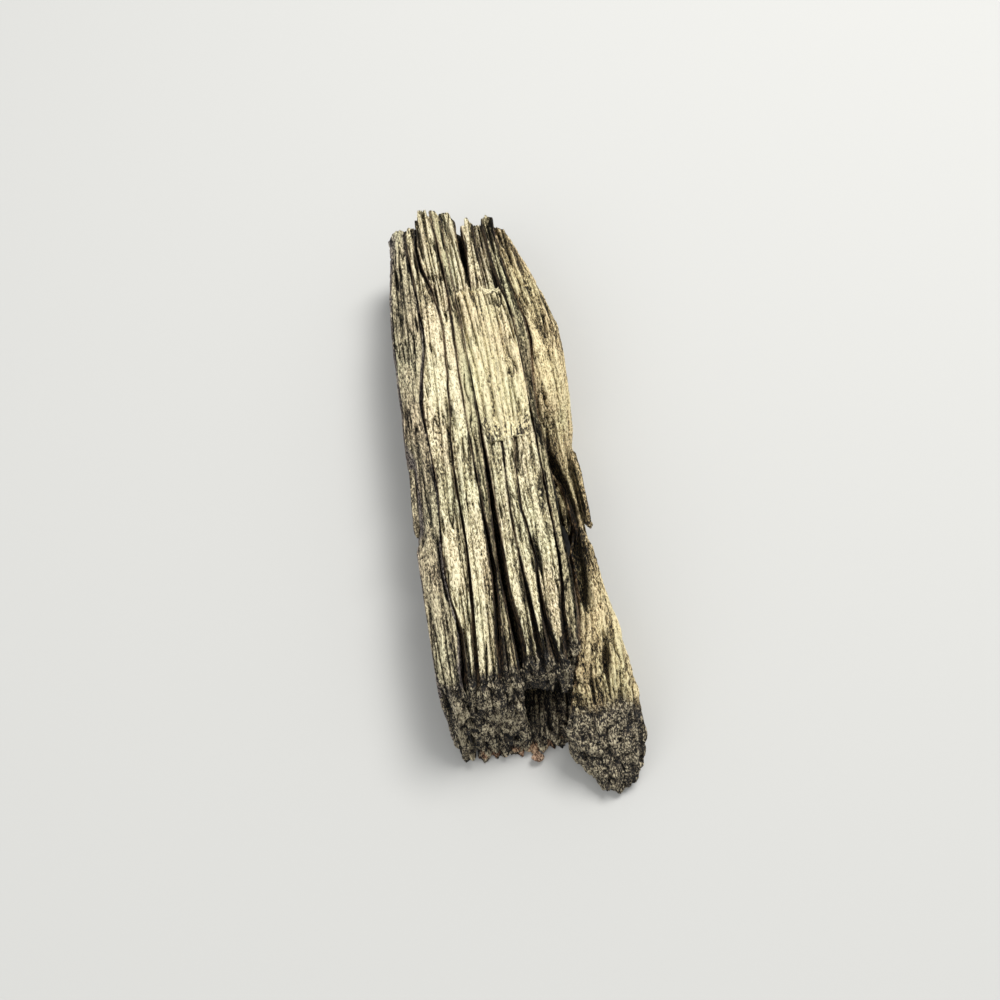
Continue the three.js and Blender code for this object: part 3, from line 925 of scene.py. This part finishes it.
# Ribs that lie a little lower and stay damp: a thin film of algae dulls them to olive.
OLIVE = WeatheredWood("olive_weathered_wood", tones=("#12110d", "#464234", "#827b63", "#b6ad8b", "#e2dab8"))
# Split hardwood that weathered in the shade: tan on its ridge, a purplish silver grey on its wall, whose
# darker tone is in part painted shade.
GREY = WeatheredWood(
    "silver_grey_weathered_wood",
    tones=("#14120f", "#4a453a", "#8b826d", "#bdb396", "#e8dfc2"),
    fresh_and_shaded=("#151213", "#3c3738", "#6f6768", "#968e8a", "#bdb5aa"),
)
# Wood that split off later: warmer tan, with brown walls that still have their colour.
BROWN = WeatheredWood(
    "late_split_brown_wood",
    tones=("#14110d", "#544935", "#a0906c", "#d2c197", "#f7ebc4"),
    fresh_and_shaded=("#0e0b08", "#33261b", "#6d5339", "#8d7253", "#ad9470"),
)
# Heartwood that has turned to char: brown black, with pale crumbs that are in part painted glints,
# and pink brown where rot has opened it.
BURNT = WeatheredWood(
    "charred_heartwood",
    tones=("#0b0a08", "#2f2a21", "#5d5442", "#938767", "#c4b890"),
    fresh_and_shaded=("#17100c", "#4d3a2e", "#8f6d58", "#b8937a", "#d9baa0"),
)
# Rotted wood that the fire didn't reach: soft, pink brown and matt.
CRUMBLY = WeatheredWood("rotted_crumb_wood", tones=("#20150f", "#5c4537", "#9a7966", "#bf9d88", "#dbbfaa"))

# Where the wood of the crown ends, seen from above: (x, y) in mm.
FAR_TIPS = (
    (-16.0, 64.0), (-14.0, 67.0), (-12.6, 67.5), (-12.2, 65.5), (-10.5, 67.0), (-9.6, 66.5), (-8.9, 69.5),
    (-8.2, 69.0), (-7.8, 72.0), (-5.9, 72.3), (-5.6, 70.2), (-4.0, 70.8), (-2.8, 68.8), (-2.3, 72.2),
    (-0.1, 72.0), (0.3, 69.5), (1.2, 68.5), (2.2, 68.5), (2.9, 67.2), (3.3, 69.5), (4.2, 69.3), (4.6, 66.8),
    (6.8, 67.2), (8.9, 66.3), (9.7, 68.7), (11.4, 68.5), (11.9, 65.4), (13.2, 63.5), (15.0, 60.0),
)


@dataclass
class Crown:
    """The weathered ribs along the top of the stick, and the one sheet left unbroken on them."""

    ribs: tuple[tuple[str, WeatheredWood, float], ...] = (
        ("rib_outer_left", TAN, 0.77),
        ("rib_left", TAN, 0.79),
        ("rib_splinter", OLIVE, 0.68),
        ("rib_centre_left", TAN, 0.75),
        ("rib_centre", TAN, 0.71),
        ("rib_centre_right", TAN, 0.71),
        ("rib_right", OLIVE, 0.68),
    )

    def build(self) -> list[bpy.types.Object]:
        """Builds the ribs from left to right, and the sheet.

        Returns:
            The pieces.
        """
        pieces = []
        for seed, (node, finish, bleach) in enumerate(self.ribs):
            rib = Stave(
                node,
                finish,
                walls=Walls.BOTH,
                bleach=bleach,
                burn_near=2.4,
                fray_near=0.9,
                swell=0.24,
                square=0.9,
                grow=0.22,
                grow_far=0.5,
                part_near=-0.8,
                join_near=0.8,
                near=BrokenEnd(bundle_length=1.4, fibre_length=0.8, rounding=0.5, reach=3.0, seed=31 + seed),
                far=BrokenEnd(
                    bundle_length=2.5,
                    fibre_length=2.6,
                    rounding=0.0,
                    reach=8.0,
                    line=FAR_TIPS,
                    seed=51 + seed,
                ),
                seed=seed,
            )
            pieces.append(rib.build())
        sheet = Stave(
            "crown_sheet",
            PALE,
            bleach=0.8,
            near=BrokenEnd(bundle_length=1.0, fibre_length=0.5, rounding=0.0, reach=2.0),
            overhang=1.6,
            far=BrokenEnd(bundle_length=3.2, rounding=0.3, reach=2.0),
            burn_near=0.0,
            sink=0.1,
            sink_near=0.25,
            seed=9,
        )
        return [*pieces, sheet.build()]


@dataclass
class Core:
    """The charred heart and the keels under the crown."""

    nodes: tuple[str, ...] = ("heart_left", "heart_right", "keel_left", "keel_right")

    def build(self) -> list[bpy.types.Object]:
        """Builds the four staves.

        Returns:
            The pieces.
        """
        pieces = []
        for seed, node in enumerate(self.nodes):
            stave = Stave(
                node,
                BURNT,
                bleach=0.35,
                burn_all=0.35,
                burn_near=8.0,
                crumbling=1.0,
                grow=0.6,
                grow_far=0.5,
                near=BrokenEnd(bundle_length=2.2, fibre_length=1.2, rounding=0.3, reach=3.0, seed=71 + seed),
                far=BrokenEnd(bundle_length=1.5, fibre_length=1.2, rounding=0.0, reach=8.0, seed=81 + seed),
                around=0.25,
                along=0.7,
                seed=20 + seed,
            )
            pieces.append(stave.build())
        return pieces


@dataclass
class Sides:
    """The flank on the left, the slab on the right, and what has lifted or crumbled off them."""

    thin_relief: Relief = Relief(groove_depth=0.2, fibre_depth=0.15, slit_depth=0.0, pit_depth=0.1)

    def build(self) -> list[bpy.types.Object]:
        """Builds the four parts of both sides.

        Returns:
            The pieces.
        """
        return [self._flank(), self._slab(), *self._slivers(), self._crumb()]

    def _flank(self) -> bpy.types.Object:
        """Builds the left side, whose near end is broken off at a slant."""
        return Stave(
            "flank_left",
            GREY,
            Walls.BOTH,
            near=BrokenEnd(bundle_length=2.0, rounding=0.4, left_back=4.0, reach=4.0, seed=36),
            far=BrokenEnd(bundle_length=1.0, rounding=0.2, reach=3.0, seed=37),
            bleach=0.6,
            burn_near=2.0,
            grow=0.4,
            grow_far=1.0,
            wall_wear=0.6,
            around=0.2,
            along=0.5,
            seed=31,
        ).build()

    def _slab(self) -> bpy.types.Object:
        """Builds the right side, which ends in a burnt nose."""
        return Stave(
            "slab_right",
            BROWN,
            Walls.LEFT,
            near=BrokenEnd(bundle_length=1.5, rounding=2.0, reach=5.0, seed=38),
            far=BrokenEnd(bundle_length=1.5, rounding=0.3, reach=3.0, seed=39),
            bleach=0.66,
            burn_near=3.0,
            burn_from=-54.0,
            fray_near=0.0,
            grow=0.4,
            wall_wear=0.6,
            around=0.2,
            along=0.5,
            seed=33,
        ).build()

    def _slivers(self) -> list[bpy.types.Object]:
        """Builds the two slivers and the splinter, which taper to a point at both ends."""
        torn = BrokenEnd(bundle_length=2.0, rounding=1.0, reach=3.0)
        pieces = []
        for node, finish, walls, bleach, grow, seed in (
            ("sliver_left", GREY, Walls.LEFT, 0.4, 0.15, 35),
            ("sliver_right", BROWN, Walls.NONE, 0.25, 0.3, 37),
            ("check_splinter", BROWN, Walls.NONE, 0.4, -0.2, 39),
        ):
            stave = Stave(
                node,
                finish,
                walls,
                relief=self.thin_relief,
                near=torn,
                far=torn,
                bleach=bleach,
                burn_near=0.0,
                pointed=True,
                grow=grow,
                around=0.12,
                along=0.3,
                seed=seed,
            )
            pieces.append(stave.build())
        return pieces

    def _crumb(self) -> bpy.types.Object:
        """Builds the crumb at the foot of the near end."""
        return Stave(
            "near_crumb",
            CRUMBLY,
            relief=self.thin_relief,
            bleach=0.4,
            burn_near=0.0,
            grow=0.15,
            around=0.12,
            along=0.3,
            seed=41,
        ).build()


# ---- Studio --------------------------------------------------------------------------------------


@dataclass
class Studio:
    """A pale floor, soft light from above, and the camera. Places are mm."""

    floor_colour: str = "#b6b5b1"
    camera_place: tuple[float, float, float] = (-19.0, -111.9, 228.0)
    look: tuple[float, float, float] = (0.0764, 0.4428, -0.8934)
    lens: float = 39.6

    def build(self) -> None:
        """Sets up the floor, the lights and the camera."""
        self._floor()
        self._lights()
        self._camera()

    def _floor(self) -> None:
        """Lays a wide sheet of pale matt paper under the stick."""
        half = 1.5
        corners = [(-half, -half, 0), (half, -half, 0), (half, half, 0), (-half, half, 0)]
        mesh = bpy.data.meshes.new("floor")
        mesh.from_pydata(corners, [], [(0, 1, 2, 3)])
        floor = bpy.data.objects.new("floor", mesh)
        bpy.context.scene.collection.objects.link(floor)
        paper = bpy.data.materials.new("matt_paper")
        paper.use_nodes = True
        shader = paper.node_tree.nodes["Principled BSDF"]
        shader.inputs["Base Color"].default_value = linear(self.floor_colour)
        shader.inputs["Roughness"].default_value = 0.9
        mesh.materials.append(paper)

    def _lights(self) -> None:
        """Hangs one large soft light, a weaker fill, and lets the room give the rest."""
        scene = bpy.context.scene
        scene.view_settings.view_transform = "Standard"
        world = bpy.data.worlds.new("room")
        world.use_nodes = True
        world.node_tree.nodes["Background"].inputs["Color"].default_value = linear("#eef1f4")
        world.node_tree.nodes["Background"].inputs["Strength"].default_value = 0.73
        scene.world = world
        for name, place, size, power in (
            ("key", (0.3, 0.3, 0.75), 0.4, 8.0),
            ("fill", (-0.5, -0.35, 0.6), 0.6, 2.1),
        ):
            light = bpy.data.lights.new(name, "AREA")
            light.size = size
            light.energy = power
            lamp = bpy.data.objects.new(name, light)
            lamp.location = place
            lamp.rotation_euler = (-Vector(place)).to_track_quat("-Z", "Y").to_euler()
            scene.collection.objects.link(lamp)

    def _camera(self) -> None:
        """Sets up the camera over the near end."""
        data = bpy.data.cameras.new("camera")
        data.lens = self.lens
        data.sensor_width = 36.0
        data.clip_start = 0.01
        camera = bpy.data.objects.new("camera", data)
        camera.location = Vector(self.camera_place) * MM
        camera.rotation_euler = Vector(self.look).to_track_quat("-Z", "Y").to_euler()
        bpy.context.scene.collection.objects.link(camera)
        bpy.context.scene.camera = camera


def main() -> None:
    """Builds the stick and its studio."""
    logging.basicConfig(level=logging.INFO, format="%(message)s")
    Studio().build()
    for assembly in (Crown(), Core(), Sides()):
        for piece in assembly.build():
            log.info("%s: %s, %d points", type(assembly).__name__, piece.name, len(piece.data.vertices))


if __name__ == "__main__":
    main()
